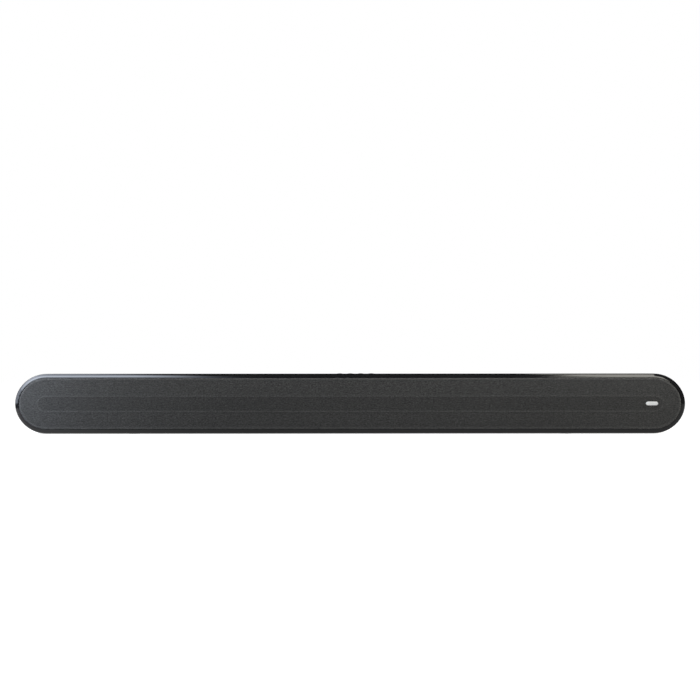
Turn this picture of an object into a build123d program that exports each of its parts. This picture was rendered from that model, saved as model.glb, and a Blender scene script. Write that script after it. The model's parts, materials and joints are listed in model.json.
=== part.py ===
"""Compact soundbar: a pill-shaped gloss housing with a cloth grille and two race-track drivers.

Units are millimetres. +X is to the right as seen from the front, the front faces -Y and +Z is up.
The origin is on the table, under the middle of the bar.
"""

import os
from math import atan2, degrees, radians, tan

from build123d import *

os.makedirs("parts", exist_ok=True)

# ---- Driving dimensions -------------------------------------------------------------------

WIDTH = 800.0
BODY_HEIGHT = 71.5
FOOT_PROUD = 0.8            # how far the feet stand below the housing
FRONT_Y = -50.0             # face of the grille cloth
BACK_Y = 50.0               # face of the rear cover

# The bar's outline: each end is a nose arc between two larger shoulder arcs.
END_LENGTH = 37.6           # from the last flat of the top to the tip of the end
NOSE_RADIUS = 33.6

# Housing
WALL = 2.5
HOUSING_FRONT = -49.4
HOUSING_BACK = 38.0
RIM_WIDTH = 5.0             # gloss rim round the grille
RIM_ROUND = 4.7
LEDGE_FRONT = -39.0         # ledge that the front baffle is screwed to
LEDGE_BACK = -36.5
LEDGE_WIDTH = 8.5
PARTITION_X = 160.0         # walls that close off each driver's chamber
PARTITION_THICK = 2.0
PARTITION_BACK = 31.0
CABLE_HOLE_RADIUS = 3.5
CABLE_HOLES = ((-PARTITION_X, -18.7, 28.1), (PARTITION_X, -31.1, 27.7))

# Rear cover
SEAM = 0.3                  # shadow gap between housing and cover
COVER_WALL = 3.0
COVER_PLATE = 2.5
COVER_ROUND = 7.0
COVER_STEP = 6.0            # the hollow narrows this far from the back, to follow the rounded edge
COVER_STEP_INSET = 5.2
LIP_CLEARANCE = 0.3
LIP_THICK = 2.0
LIP_FRONT = 32.0

# Grille, baffle
GRILLE_GAP = 0.2
CLOTH_THICK = 0.5
CLOTH_WRAP_BACK = -44.5
FRAME_BACK = -46.5
FRAME_PLATE_FRONT = -48.3
FRAME_RIB = 1.8
RACE_TRACK_INSET = 26.6     # centre line of the rib that marks the long loop on the cloth
RACE_TRACK_RIB = 2.4
GRILLE_PITCH = 20.0
GRILLE_ROW_PITCH = 19.0
GRILLE_COLUMNS = 35
GRILLE_HOLE = (17.0, 13.0)
BAFFLE_FRONT = -43.5
BAFFLE_GAP = 0.3
PEG_RADIUS = 1.5
PEG_X = (90.0, 190.0, 330.0)
PEG_Z = 24.5                # above and below the bar's axis

# Buttons
BUTTON_CENTRE_X = 6.5
BUTTON_PITCH = 12.6
BUTTON_NAMES = ("power", "source", "volume_down", "volume_up")
BUTTON_RADIUS = 3.5
BUTTON_HOLE_RADIUS = 3.8
BUTTON_EDGE_PROUD = 0.05
BUTTON_PROUD = 0.45
BUTTON_FLANGE_RADIUS = 5.2
BUTTON_FLANGE_THICK = 1.4
BUTTON_STEM_RADIUS = 2.0

# Drivers
DRIVER_X = 255.0
FLANGE_SIZE = (112.0, 54.0)
FLANGE_CORNER = 12.0
DRIVER_SCREWS = (100.0, 42.0)
BASKET_SIZE = (104.0, 46.0)
BASKET_WALL = 1.2
BAFFLE_HOLE = (105.0, 47.0)
REBATE_FLOOR = -40.7
GASKET_THICK = 0.6
SHEET_STEEL = 1.2
CONE_MOUTH = (92.0, 34.0)
CONE_NECK = (26.0, 22.0)
CONE_THICK = 0.7
COIL_RADIUS = 10.3
COIL_FRONT = -35.1
BASKET_BACK = -26.8

# Circuit boards
BOARD_THICK = 1.6
BOARD_TOP = 24.0            # component side of the main and power boards
BOARD_Y = (-28.0, 22.0)
MAIN_BOARD_X = (-128.0, 29.0)
POWER_BOARD_X = (34.0, 128.0)
MAIN_BOARD_SCREWS = ((-122.0, -22.0), (-122.0, 16.0), (24.0, -22.0), (24.0, 16.0))
POWER_BOARD_SCREWS = ((38.5, -22.0), (38.5, 16.0), (122.0, -22.0), (122.0, 16.0))
CONTROL_BOARD_TOP = 58.6
CONTROL_BOARD_SIZE = (64.0, 20.0)
CONTROL_SCREW_SPACING = (56.0, 12.0)

# Socket bay in the rear cover
BAY_X = 75.0
BAY_Z = (14.0, 58.0)
BAY_FRONT = 26.0
BAY_WALL = 2.5
CHANNEL_X = 30.0            # half-width of the cable channel that leaves the bay downwards
CHANNEL_FRONT = 40.8
SOCKET_FACE = 26.5
SOCKET_GAP = 0.2            # between a socket and the edge of its window
VIDEO_X = -56.0
SERVICE_X = -33.0
OPTICAL_X = -10.0
AUX_X = 11.0
MAINS_X = 56.0
MAINS_Z = 31.5

# Wall keyholes
KEYHOLE_X = 270.0
KEYHOLE_Z = 32.0
KEYHOLE_ENTRY_RADIUS = 4.75
KEYHOLE_SLOT_RADIUS = 2.4
KEYHOLE_RISE = 11.0
POCKET_HALF_WIDTH = 7.5
POCKET_Z = (26.0, 48.0)
POCKET_DEPTH = 8.0
POCKET_WALL = 2.0

# Feet
FOOT_X = 260.0
FOOT_SIZE = (14.0, 54.0)
FOOT_Y = 7.0
FOOT_SINK = 1.0             # how deep a foot sits in the housing's recess
FOOT_GAP = 0.1

# Fasteners: head radius, head height, shank radius
CASE_SCREW = (3.0, 2.0, 1.5)
SMALL_SCREW = (2.5, 1.7, 1.2)
DRIVE_SLOT = 0.6
SHANK_GAP = 0.08

# ---- Worked-out dimensions ----------------------------------------------------------------

HALF_HEIGHT = BODY_HEIGHT / 2
AXIS_Z = FOOT_PROUD + HALF_HEIGHT
TOP_Z = FOOT_PROUD + BODY_HEIGHT
COVER_FRONT = HOUSING_BACK + SEAM
INNER_TOP = TOP_Z - WALL
INNER_BOTTOM = FOOT_PROUD + WALL

STRAIGHT_X = WIDTH / 2 - END_LENGTH
NOSE_X = WIDTH / 2 - NOSE_RADIUS
NOSE_SETBACK = END_LENGTH - NOSE_RADIUS
SHOULDER_RADIUS = (HALF_HEIGHT**2 + NOSE_SETBACK**2 - NOSE_RADIUS**2) / (2 * (HALF_HEIGHT - NOSE_RADIUS))
SHOULDER_DROP = SHOULDER_RADIUS - HALF_HEIGHT
JOIN_ANGLE = degrees(atan2(SHOULDER_DROP, NOSE_SETBACK))

CLOTH_INSET = RIM_WIDTH + GRILLE_GAP
FRAME_INSET = CLOTH_INSET + CLOTH_THICK
FRAME_FRONT = FRONT_Y + CLOTH_THICK
BAFFLE_INSET = RIM_WIDTH + BAFFLE_GAP

FLANGE_BACK = REBATE_FLOOR - GASKET_THICK
FLANGE_FRONT = FLANGE_BACK - SHEET_STEEL
TOP_PLATE_BACK = BASKET_BACK + 3.0
MAGNET_BACK = TOP_PLATE_BACK + 10.0
YOKE_BACK = MAGNET_BACK + 3.0
LEDGE_RING_FRONT = BASKET_BACK - SHEET_STEEL - 2.4

BUTTON_X = [BUTTON_CENTRE_X + BUTTON_PITCH * (i - 1.5) for i in range(len(BUTTON_NAMES))]

# Screws, as x and the height above or below the bar's axis
BAFFLE_SCREW_X = (-345.0, -150.0, -45.0, 45.0, 150.0, 345.0)
BAFFLE_SCREW_Z = 27.2
COVER_SCREW_X = (-335.0, -110.0, 110.0, 335.0)
COVER_SCREW_Z = 23.0
BAFFLE_SCREW_POINTS = [(x, z) for x in BAFFLE_SCREW_X for z in (-BAFFLE_SCREW_Z, BAFFLE_SCREW_Z)]
COVER_SCREW_POINTS = [(x, z) for x in COVER_SCREW_X for z in (-COVER_SCREW_Z, COVER_SCREW_Z)]
COVER_POST_FRONT = 12.0
COVER_POST_BACK = 31.4
COVER_BOSS_FRONT = 31.5
COVER_HEAD_SEAT = 41.0
COVER_SCREW_TIP = 17.0
POST_RADIUS = 4.5
POST_WEB = 3.0
BOSS_RADIUS = 3.5
BOSS_LENGTH = 6.0


# ---- Helpers ------------------------------------------------------------------------------


def save(piece, node):
    """Label a finished piece and write it as its own STEP file."""
    piece.part.label = node
    export_step(piece.part, f"parts/{node}.step")


def upright(y, x=0.0, z=AXIS_Z):
    """A plane that faces the front, at depth y, with its origin at x and z."""
    return Plane(origin=(x, y, z), x_dir=(1, 0, 0), z_dir=(0, -1, 0))


def bar_outline(inset=0.0):
    """The bar's outline, drawn inward by inset, in the sketch being made."""
    top = HALF_HEIGHT - inset
    with BuildLine() as edge:
        CenterArc((STRAIGHT_X, -SHOULDER_DROP), SHOULDER_RADIUS - inset, JOIN_ANGLE, 90 - JOIN_ANGLE)
        CenterArc((NOSE_X, 0), NOSE_RADIUS - inset, -JOIN_ANGLE, 2 * JOIN_ANGLE)
        CenterArc((STRAIGHT_X, SHOULDER_DROP), SHOULDER_RADIUS - inset, -90, 90 - JOIN_ANGLE)
        mirror(about=Plane.YZ)
        Line((-STRAIGHT_X, top), (STRAIGHT_X, top))
        Line((-STRAIGHT_X, -top), (STRAIGHT_X, -top))
    make_face(edge.edges())


def bar_slab(inset, front, back, mode=Mode.ADD):
    """A slab of the bar's outline, drawn inward by inset, between two depths."""
    with BuildSketch(upright(back)) as face:
        bar_outline(inset)
    extrude(face.sketch, amount=back - front, mode=mode)


def bar_ring(outer_inset, inner_inset, front, back, mode=Mode.ADD):
    """A ring between two parallel outlines of the bar, between two depths."""
    with BuildSketch(upright(back)) as face:
        bar_outline(outer_inset)
        with BuildSketch(mode=Mode.PRIVATE) as middle:
            bar_outline(inner_inset)
        add(middle.sketch, mode=Mode.SUBTRACT)
    extrude(face.sketch, amount=back - front, mode=mode)


def block(low, high, mode=Mode.ADD):
    """A box between two opposite corners."""
    size = [b - a for a, b in zip(low, high)]
    centre = tuple((a + b) / 2 for a, b in zip(low, high))
    with Locations(centre):
        Box(*size, mode=mode)


def rod(start, end, radius, mode=Mode.ADD):
    """A round bar, or a round hole, between two points."""
    run = Vector(*end) - Vector(*start)
    with Locations(Plane(origin=start, z_dir=run)):
        Cylinder(radius, run.length, align=(Align.CENTER, Align.CENTER, Align.MIN), mode=mode)


def screw(seat, drive, size, length):
    """A screw whose head stands on seat and whose shank runs along drive, with a cross recess."""
    head_radius, head_height, shank_radius = size
    seat, drive = Vector(*seat), Vector(*drive)
    head_top = seat - drive * head_height
    rod(head_top, seat, head_radius)
    rod(seat, seat + drive * length, shank_radius)
    with Locations(Plane(origin=head_top, z_dir=drive)):
        Box(head_radius * 1.2, DRIVE_SLOT, head_height, mode=Mode.SUBTRACT)
        Box(DRIVE_SLOT, head_radius * 1.2, head_height, mode=Mode.SUBTRACT)


def driver_slab(centre_x, draw, front, back, mode=Mode.ADD):
    """A slab about a driver's axis, with the outline that draw puts in its sketch."""
    with BuildSketch(upright(back, centre_x)) as face:
        draw()
    extrude(face.sketch, amount=back - front, mode=mode)


def tube_along(points, radius):
    """A round cable along points, with arcs as large as each pair of runs allows."""
    bends = []
    for before, corner, after in zip(points, points[1:], points[2:]):
        first, second = Vector(*corner) - Vector(*before), Vector(*after) - Vector(*corner)
        turn = radians(first.get_angle(second))
        bends.append(0.45 * min(first.length, second.length) / tan(turn / 2))
    print("cable bend radii:", [round(bend, 1) for bend in bends])
    with BuildLine() as route:
        FilletPolyline(*points, radius=bends)
    with BuildSketch(Plane(origin=route.line @ 0, z_dir=route.line % 0)) as section:
        Circle(radius)
    sweep(section.sketch, path=route.line)


# ---- Housing ------------------------------------------------------------------------------

with BuildPart() as housing_shell:
    bar_slab(0, HOUSING_FRONT, HOUSING_BACK)
    fillet(housing_shell.faces().sort_by(Axis.Y)[0].edges(), RIM_ROUND)
    bar_slab(RIM_WIDTH, HOUSING_FRONT, LEDGE_FRONT, mode=Mode.SUBTRACT)
    bar_slab(LEDGE_WIDTH, LEDGE_FRONT, LEDGE_BACK, mode=Mode.SUBTRACT)
    bar_slab(WALL, LEDGE_BACK, HOUSING_BACK, mode=Mode.SUBTRACT)

    # Partitions between the middle of the bar and the two driver chambers
    for side in (-1, 1):
        centre = side * PARTITION_X
        block(
            (centre - PARTITION_THICK / 2, LEDGE_BACK, INNER_BOTTOM - 0.5),
            (centre + PARTITION_THICK / 2, PARTITION_BACK, INNER_TOP + 0.5),
        )

    # Bosses behind the ledge for the baffle's screws
    for x, z in BAFFLE_SCREW_POINTS:
        rod((x, LEDGE_FRONT, AXIS_Z + z), (x, LEDGE_FRONT + BOSS_LENGTH, AXIS_Z + z), BOSS_RADIUS)
    for x, z in BAFFLE_SCREW_POINTS:
        hole = SMALL_SCREW[2] + SHANK_GAP
        hole_end = LEDGE_FRONT + BOSS_LENGTH - 1.0
        rod((x, LEDGE_FRONT, AXIS_Z + z), (x, hole_end, AXIS_Z + z), hole, mode=Mode.SUBTRACT)

    # Posts for the rear cover's screws, each joined to the nearest wall by a web
    for x, z in COVER_SCREW_POINTS:
        wall_z = AXIS_Z + (HALF_HEIGHT - WALL / 2) * (1 if z > 0 else -1)
        rod((x, COVER_POST_FRONT, AXIS_Z + z), (x, COVER_POST_BACK, AXIS_Z + z), POST_RADIUS)
        block(
            (x - POST_WEB / 2, COVER_POST_FRONT, min(AXIS_Z + z, wall_z)),
            (x + POST_WEB / 2, COVER_POST_BACK, max(AXIS_Z + z, wall_z)),
        )
    for x, z in COVER_SCREW_POINTS:
        hole = CASE_SCREW[2] + SHANK_GAP
        hole_end = COVER_SCREW_TIP - 1.0
        rod((x, hole_end, AXIS_Z + z), (x, COVER_POST_BACK, AXIS_Z + z), hole, mode=Mode.SUBTRACT)

    # Standoffs for the main and power boards
    for x, y in MAIN_BOARD_SCREWS + POWER_BOARD_SCREWS:
        rod((x, y, INNER_BOTTOM - 0.5), (x, y, BOARD_TOP - BOARD_THICK), BOSS_RADIUS)
        hole = SMALL_SCREW[2] + SHANK_GAP
        rod((x, y, 11.0), (x, y, BOARD_TOP - BOARD_THICK), hole, mode=Mode.SUBTRACT)

    # Bosses that hang from the top wall and carry the control board
    with Locations((BUTTON_CENTRE_X, 0, CONTROL_BOARD_TOP)):
        with GridLocations(*CONTROL_SCREW_SPACING, 2, 2):
            boss_height = INNER_TOP + 0.5 - CONTROL_BOARD_TOP
            Cylinder(3.0, boss_height, align=(Align.CENTER, Align.CENTER, Align.MIN))
            Cylinder(
                SMALL_SCREW[2] + SHANK_GAP,
                8.0,
                align=(Align.CENTER, Align.CENTER, Align.MIN),
                mode=Mode.SUBTRACT,
            )

    # Button holes, foot recesses and the speaker cables' holes
    for x in BUTTON_X:
        rod((x, 0, INNER_TOP - 1.0), (x, 0, TOP_Z + 1.0), BUTTON_HOLE_RADIUS, mode=Mode.SUBTRACT)
    for side in (-1, 1):
        with BuildSketch(Plane.XY.offset(FOOT_PROUD)):
            with Locations((side * FOOT_X, FOOT_Y)):
                SlotOverall(FOOT_SIZE[1], FOOT_SIZE[0], rotation=90)
        extrude(amount=FOOT_SINK, mode=Mode.SUBTRACT)
    for x, y, z in CABLE_HOLES:
        rod((x - 2, y, z), (x + 2, y, z), CABLE_HOLE_RADIUS, mode=Mode.SUBTRACT)
save(housing_shell, "housing_shell")

for side, node in ((-1, "foot_left"), (1, "foot_right")):
    with BuildPart() as foot:
        with BuildSketch(Plane.XY):
            with Locations((side * FOOT_X, FOOT_Y)):
                SlotOverall(FOOT_SIZE[1] - 2 * FOOT_GAP, FOOT_SIZE[0] - 2 * FOOT_GAP, rotation=90)
        extrude(amount=FOOT_PROUD + FOOT_SINK)
    save(foot, node)

# ---- Rear cover, with its socket bay and wall keyholes ---------------------------------------

SOCKET_BODIES = {
    "video": ((VIDEO_X - 7.6, VIDEO_X + 7.6), (BOARD_TOP, BOARD_TOP + 6.2)),
    "service": ((SERVICE_X - 7.1, SERVICE_X + 7.1), (BOARD_TOP, BOARD_TOP + 7.2)),
    "optical": ((OPTICAL_X - 5.2, OPTICAL_X + 5.2), (BOARD_TOP, BOARD_TOP + 11.0)),
    "aux": ((AUX_X - 5.0, AUX_X + 5.0), (BOARD_TOP, BOARD_TOP + 9.6)),
    "mains": ((MAINS_X - 10.5, MAINS_X + 10.5), (BOARD_TOP, BOARD_TOP + 15.0)),
}

with BuildPart() as rear_cover:
    bar_slab(0, COVER_FRONT, BACK_Y)
    fillet(rear_cover.faces().sort_by(Axis.Y)[-1].edges(), COVER_ROUND)
    bar_slab(COVER_WALL, COVER_FRONT, BACK_Y - COVER_STEP, mode=Mode.SUBTRACT)
    bar_slab(COVER_STEP_INSET, BACK_Y - COVER_STEP, BACK_Y - COVER_PLATE, mode=Mode.SUBTRACT)
    lip_inset = WALL + LIP_CLEARANCE
    bar_ring(lip_inset, lip_inset + LIP_THICK, LIP_FRONT, COVER_FRONT + 2.0)

    for x, z in COVER_SCREW_POINTS:
        rod((x, COVER_BOSS_FRONT, AXIS_Z + z), (x, BACK_Y - 1.0, AXIS_Z + z), POST_RADIUS)
    for side in (-1, 1):
        centre = side * KEYHOLE_X
        plate = BACK_Y - COVER_PLATE
        half_width = POCKET_HALF_WIDTH + POCKET_WALL
        block(
            (centre - half_width, plate - POCKET_DEPTH - POCKET_WALL, POCKET_Z[0] - POCKET_WALL),
            (centre + half_width, plate + 0.5, POCKET_Z[1] + POCKET_WALL),
        )
    block(
        (-BAY_X - BAY_WALL, BAY_FRONT - BAY_WALL, BAY_Z[0] - BAY_WALL),
        (BAY_X + BAY_WALL, BACK_Y - 1.0, BAY_Z[1] + BAY_WALL),
    )
    block(
        (-CHANNEL_X - BAY_WALL, COVER_FRONT, FOOT_PROUD + WALL),
        (CHANNEL_X + BAY_WALL, BACK_Y - COVER_PLATE, BAY_Z[0]),
    )

    # Socket bay, its cable channel and one window for each socket
    block((-BAY_X, BAY_FRONT, BAY_Z[0]), (BAY_X, BACK_Y, BAY_Z[1]), mode=Mode.SUBTRACT)
    block((-CHANNEL_X, CHANNEL_FRONT, 0), (CHANNEL_X, BACK_Y, BAY_Z[0]), mode=Mode.SUBTRACT)
    for (x0, x1), (z0, z1) in SOCKET_BODIES.values():
        block(
            (x0 - SOCKET_GAP, BAY_FRONT - BAY_WALL, z0 - SOCKET_GAP),
            (x1 + SOCKET_GAP, BAY_FRONT, z1 + SOCKET_GAP),
            mode=Mode.SUBTRACT,
        )

    # Screw holes with deep round seats for the heads
    for x, z in COVER_SCREW_POINTS:
        mouth = (x, BACK_Y, AXIS_Z + z)
        rod((x, COVER_BOSS_FRONT, AXIS_Z + z), mouth, CASE_SCREW[2] + 0.2, mode=Mode.SUBTRACT)
        rod((x, COVER_HEAD_SEAT, AXIS_Z + z), mouth, CASE_SCREW[0] + 0.4, mode=Mode.SUBTRACT)

    # Keyholes: a round entry, a narrow slot above it and a closed pocket behind both
    for side in (-1, 1):
        centre = side * KEYHOLE_X
        plate = BACK_Y - COVER_PLATE
        block(
            (centre - POCKET_HALF_WIDTH, plate - POCKET_DEPTH, POCKET_Z[0]),
            (centre + POCKET_HALF_WIDTH, plate, POCKET_Z[1]),
            mode=Mode.SUBTRACT,
        )
        with BuildSketch(upright(BACK_Y, centre, KEYHOLE_Z)):
            Circle(KEYHOLE_ENTRY_RADIUS)
            with Locations((0, KEYHOLE_RISE / 2)):
                SlotCenterToCenter(KEYHOLE_RISE, 2 * KEYHOLE_SLOT_RADIUS, rotation=90)
        extrude(amount=COVER_PLATE, mode=Mode.SUBTRACT)
save(rear_cover, "rear_cover")

with BuildPart() as rear_cover_screws:
    for x, z in COVER_SCREW_POINTS:
        screw((x, COVER_HEAD_SEAT, AXIS_Z + z), (0, -1, 0), CASE_SCREW, COVER_HEAD_SEAT - COVER_SCREW_TIP)
save(rear_cover_screws, "rear_cover_screws")

# ---- Front baffle, grille frame and cloth --------------------------------------------------

with BuildPart() as front_baffle:
    bar_slab(BAFFLE_INSET, BAFFLE_FRONT, LEDGE_FRONT)
    for side in (-1, 1):
        centre = side * DRIVER_X
        with BuildSketch(upright(REBATE_FLOOR, centre)):
            RectangleRounded(FLANGE_SIZE[0] + 0.6, FLANGE_SIZE[1] + 0.6, FLANGE_CORNER)
        extrude(amount=REBATE_FLOOR - BAFFLE_FRONT, mode=Mode.SUBTRACT)
        with BuildSketch(upright(LEDGE_FRONT, centre)):
            SlotOverall(*BAFFLE_HOLE)
        extrude(amount=LEDGE_FRONT - REBATE_FLOOR, mode=Mode.SUBTRACT)
        with BuildSketch(upright(LEDGE_FRONT + 5.0, centre)):
            with GridLocations(*DRIVER_SCREWS, 2, 2):
                Circle(3.2)
        extrude(amount=5.0)
        with BuildSketch(upright(LEDGE_FRONT + 4.0, centre)):
            with GridLocations(*DRIVER_SCREWS, 2, 2):
                Circle(SMALL_SCREW[2] + SHANK_GAP)
        extrude(amount=LEDGE_FRONT + 4.0 - REBATE_FLOOR, mode=Mode.SUBTRACT)

    for x, z in BAFFLE_SCREW_POINTS:
        rod((x, BAFFLE_FRONT, AXIS_Z + z), (x, LEDGE_FRONT, AXIS_Z + z), 1.5, mode=Mode.SUBTRACT)
        rod((x, BAFFLE_FRONT, AXIS_Z + z), (x, BAFFLE_FRONT + 2.0, AXIS_Z + z), 2.8, mode=Mode.SUBTRACT)
    for x in PEG_X:
        with BuildSketch(upright(LEDGE_FRONT)):
            with GridLocations(2 * x, 2 * PEG_Z, 2, 2):
                Circle(PEG_RADIUS + 0.1)
        extrude(amount=LEDGE_FRONT - BAFFLE_FRONT, mode=Mode.SUBTRACT)

    # Window for the indicator lights and the remote receiver, with two bosses for their board
    with BuildSketch(upright(LEDGE_FRONT)):
        SlotOverall(26, 8)
    extrude(amount=LEDGE_FRONT - BAFFLE_FRONT, mode=Mode.SUBTRACT)
    for x in (-18.0, 18.0):
        rod((x, LEDGE_FRONT, AXIS_Z), (x, LEDGE_FRONT + 1.4, AXIS_Z), 3.0)
        rod((x, BAFFLE_FRONT + 1.5, AXIS_Z), (x, LEDGE_FRONT + 1.4, AXIS_Z), 1.28, mode=Mode.SUBTRACT)
save(front_baffle, "front_baffle")

with BuildPart() as baffle_screws:
    for x, z in BAFFLE_SCREW_POINTS:
        screw((x, BAFFLE_FRONT + 2.0, AXIS_Z + z), (0, 1, 0), SMALL_SCREW, 6.5)
save(baffle_screws, "baffle_screws")

BADGE_X = 360.0
BADGE_SIZE = (14.5, 4.6)
BADGE_BACK = -49.0
BADGE_POSTS = 8.0           # spacing of the two posts behind the badge

with BuildPart() as grille_frame:
    bar_slab(FRAME_INSET, FRAME_PLATE_FRONT, FRAME_BACK)
    bar_ring(FRAME_INSET, FRAME_INSET + FRAME_RIB, FRAME_FRONT, BAFFLE_FRONT)
    bar_ring(
        RACE_TRACK_INSET - RACE_TRACK_RIB / 2,
        RACE_TRACK_INSET + RACE_TRACK_RIB / 2,
        FRAME_FRONT,
        FRAME_PLATE_FRONT,
    )
    with BuildSketch(upright(FRAME_BACK)):
        with GridLocations(GRILLE_PITCH, GRILLE_ROW_PITCH, GRILLE_COLUMNS, 3):
            Rectangle(*GRILLE_HOLE)
    extrude(amount=FRAME_BACK - FRAME_PLATE_FRONT, mode=Mode.SUBTRACT)
    for x in PEG_X:
        with BuildSketch(upright(LEDGE_FRONT - 0.3)):
            with GridLocations(2 * x, 2 * PEG_Z, 2, 2):
                Circle(PEG_RADIUS)
        extrude(amount=LEDGE_FRONT - 0.3 - FRAME_BACK)
    with BuildSketch(upright(FRAME_PLATE_FRONT, BADGE_X)):
        SlotOverall(16, 6)
    extrude(amount=FRAME_PLATE_FRONT - BADGE_BACK)
    with BuildSketch(upright(FRAME_BACK, BADGE_X)):
        with GridLocations(BADGE_POSTS, 0, 2, 1):
            Circle(1.1)
    extrude(amount=FRAME_BACK - BADGE_BACK, mode=Mode.SUBTRACT)
save(grille_frame, "grille_frame")

with BuildPart() as grille_cloth:
    bar_slab(CLOTH_INSET, FRONT_Y, FRAME_FRONT)
    bar_ring(CLOTH_INSET, FRAME_INSET, FRAME_FRONT, CLOTH_WRAP_BACK)
    with BuildSketch(upright(FRAME_FRONT, BADGE_X)):
        SlotOverall(BADGE_SIZE[0] + 0.2, BADGE_SIZE[1] + 0.2)
    extrude(amount=CLOTH_THICK, mode=Mode.SUBTRACT)
save(grille_cloth, "grille_cloth")

with BuildPart() as badge:
    with BuildSketch(upright(BADGE_BACK, BADGE_X)):
        SlotOverall(*BADGE_SIZE)
    extrude(amount=BADGE_BACK - FRONT_Y)
    fillet(badge.faces().sort_by(Axis.Y)[0].edges(), 0.3)
    with BuildSketch(upright(FRAME_BACK, BADGE_X)):
        with GridLocations(BADGE_POSTS, 0, 2, 1):
            Circle(1.0)
    extrude(amount=FRAME_BACK - BADGE_BACK)
save(badge, "badge")

# ---- Buttons and the control board ---------------------------------------------------------

SWITCH_TOP = CONTROL_BOARD_TOP + 3.4
PLUNGER_TOP = SWITCH_TOP + 1.7
FLANGE_TOP = INNER_TOP - 0.2
BUTTON_TOP = TOP_Z + BUTTON_PROUD
BUTTON_EDGE = TOP_Z + BUTTON_EDGE_PROUD

for x, word in zip(BUTTON_X, BUTTON_NAMES):
    with BuildPart() as button:
        with BuildSketch(upright(0, x, 0)):
            with BuildLine():
                Polyline(
                    (0, BUTTON_TOP),
                    (0, PLUNGER_TOP),
                    (BUTTON_STEM_RADIUS, PLUNGER_TOP),
                    (BUTTON_STEM_RADIUS, FLANGE_TOP - BUTTON_FLANGE_THICK),
                    (BUTTON_FLANGE_RADIUS, FLANGE_TOP - BUTTON_FLANGE_THICK),
                    (BUTTON_FLANGE_RADIUS, FLANGE_TOP),
                    (BUTTON_RADIUS, FLANGE_TOP),
                    (BUTTON_RADIUS, BUTTON_EDGE),
                )
                TangentArc((0, BUTTON_TOP), (BUTTON_RADIUS, BUTTON_EDGE), tangent=(1, 0))
            make_face()
        revolve(axis=Axis((x, 0, 0), (0, 0, 1)))
    save(button, f"button_{word}")

    with BuildPart() as plunger:
        rod((x, 0, SWITCH_TOP - 1.0), (x, 0, PLUNGER_TOP), 1.6)
        chamfer(plunger.edges().filter_by(GeomType.CIRCLE), 0.2)
    save(plunger, f"plunger_{word}")

with BuildPart() as tact_switches:
    for x in BUTTON_X:
        block((x - 3, -3, CONTROL_BOARD_TOP), (x + 3, 3, SWITCH_TOP))
        rod((x, 0, SWITCH_TOP - 1.8), (x, 0, SWITCH_TOP), 1.8, mode=Mode.SUBTRACT)
save(tact_switches, "tact_switches")

with BuildPart() as control_board:
    with BuildSketch(Plane.XY.offset(CONTROL_BOARD_TOP - BOARD_THICK)):
        with Locations((BUTTON_CENTRE_X, 0)):
            RectangleRounded(*CONTROL_BOARD_SIZE, 2)
            with GridLocations(*CONTROL_SCREW_SPACING, 2, 2):
                Circle(1.5, mode=Mode.SUBTRACT)
    extrude(amount=BOARD_THICK)
save(control_board, "control_board")

# ---- Main board, power board and what stands on them ---------------------------------------

HEADER_SIZE = (8.0, 6.0, 6.0)
LEFT_HEADER = (-124.0, -3.0)      # low corner of the left speaker's header on the main board
RIGHT_HEADER = (-28.0, -27.0)
AMPLIFIER = (-95.0, -8.0)
HEAT_SINK_SIZE = (34.0, 28.0)


def circuit_board(low_x, high_x, screw_points):
    """A board lying flat on its standoffs, with a clearance hole at each screw."""
    with BuildSketch(Plane.XY.offset(BOARD_TOP - BOARD_THICK)) as face:
        with Locations(((low_x + high_x) / 2, sum(BOARD_Y) / 2)):
            RectangleRounded(high_x - low_x, BOARD_Y[1] - BOARD_Y[0], 2)
        with Locations(*screw_points):
            Circle(1.5, mode=Mode.SUBTRACT)
    extrude(face.sketch, amount=BOARD_THICK)


with BuildPart() as main_board:
    circuit_board(*MAIN_BOARD_X, MAIN_BOARD_SCREWS)
save(main_board, "main_board")

with BuildPart() as power_board:
    circuit_board(*POWER_BOARD_X, POWER_BOARD_SCREWS)
save(power_board, "power_board")

with BuildPart() as main_board_chips:
    for (x, y), (length, width, height) in (
        (AMPLIFIER, (12, 12, 2)),
        ((-25, -6), (14, 14, 1.6)),
        ((-48, -6), (9, 9, 1.4)),
        ((-60, -19), (18, 13, 2.6)),
        ((0, -2), (8, 6, 1.8)),
    ):
        with Locations((x, y, BOARD_TOP)):
            Box(length, width, height, align=(Align.CENTER, Align.CENTER, Align.MIN))
    for x in (-112, -102):
        rod((x, -20, BOARD_TOP), (x, -20, BOARD_TOP + 9), 4.0)
    for x, y in (LEFT_HEADER, RIGHT_HEADER):
        high = (x + HEADER_SIZE[0], y + HEADER_SIZE[1], BOARD_TOP + HEADER_SIZE[2])
        block((x, y, BOARD_TOP), high)
save(main_board_chips, "main_board_chips")

with BuildPart() as heat_sink:
    x, y = AMPLIFIER
    base = BOARD_TOP + 2.0
    half_x, half_y = HEAT_SINK_SIZE[0] / 2, HEAT_SINK_SIZE[1] / 2
    block((x - half_x, y - half_y + 12, base), (x + half_x, y + half_y, base + 3))
    block((x - 7, y - 7, base), (x + 7, y + 7, base + 3))
    for i in range(8):
        fin_x = x - half_x + i * (HEAT_SINK_SIZE[0] - 1.6) / 7
        block((fin_x, y - half_y + 12, base + 3), (fin_x + 1.6, y + half_y, base + 20))
save(heat_sink, "heat_sink")

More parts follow.
